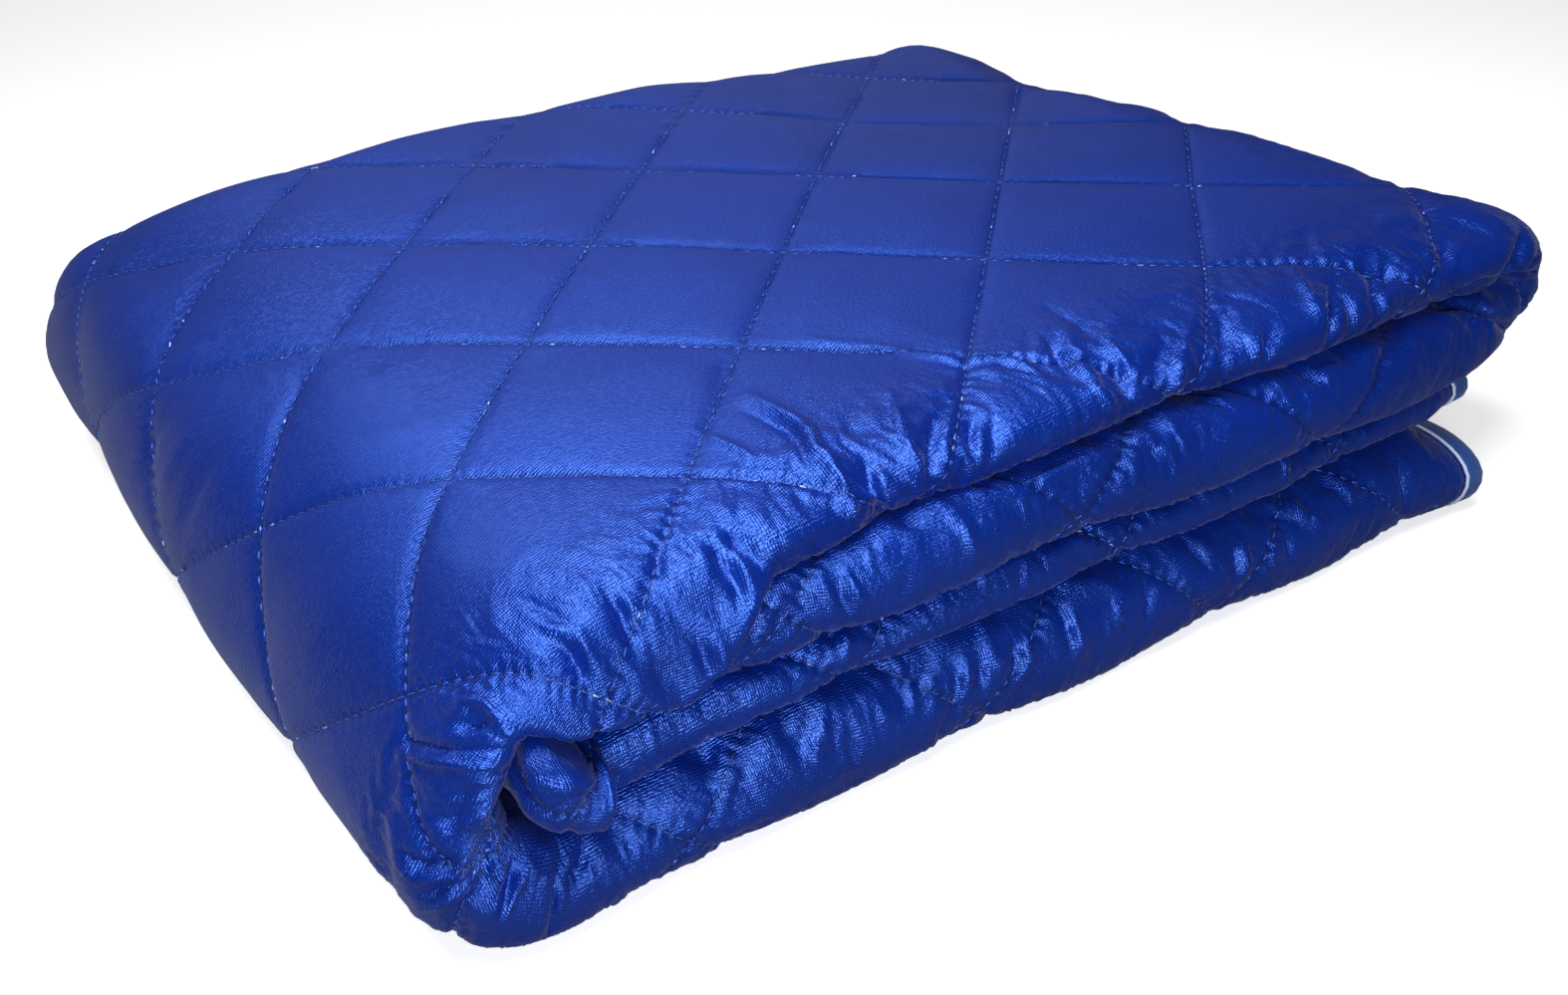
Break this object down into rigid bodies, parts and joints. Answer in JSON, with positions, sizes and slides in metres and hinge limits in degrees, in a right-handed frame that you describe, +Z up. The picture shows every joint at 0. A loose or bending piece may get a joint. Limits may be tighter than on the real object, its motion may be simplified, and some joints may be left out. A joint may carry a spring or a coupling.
{
  "type": "picnic blanket",
  "caption": "Quilted picnic blanket folded into a neat stack of four thick leaves, with puffed diamond quilting and bound hems edged with white piping.",
  "frame": {"origin": "centre of the bounding box at the level the folded blanket rests on", "axes": "+X along the long side from the outer wrap to the hems, +Y from the long folded fronts to the back, +Z up"},
  "size_m": [0.4908, 0.4214, 0.1152],
  "materials": {
    "quilted_cloth": "glossy woven synthetic",
    "hem_tape": "matte woven tape",
    "hem_cord": "matte cord"
  },
  "bodies": {
    "root": {"blanket": "quilted_cloth", "binding_lower": "hem_tape", "binding_upper": "hem_tape", "piping_lower": "hem_cord", "piping_upper": "hem_cord"}
  },
  "joints": []
}
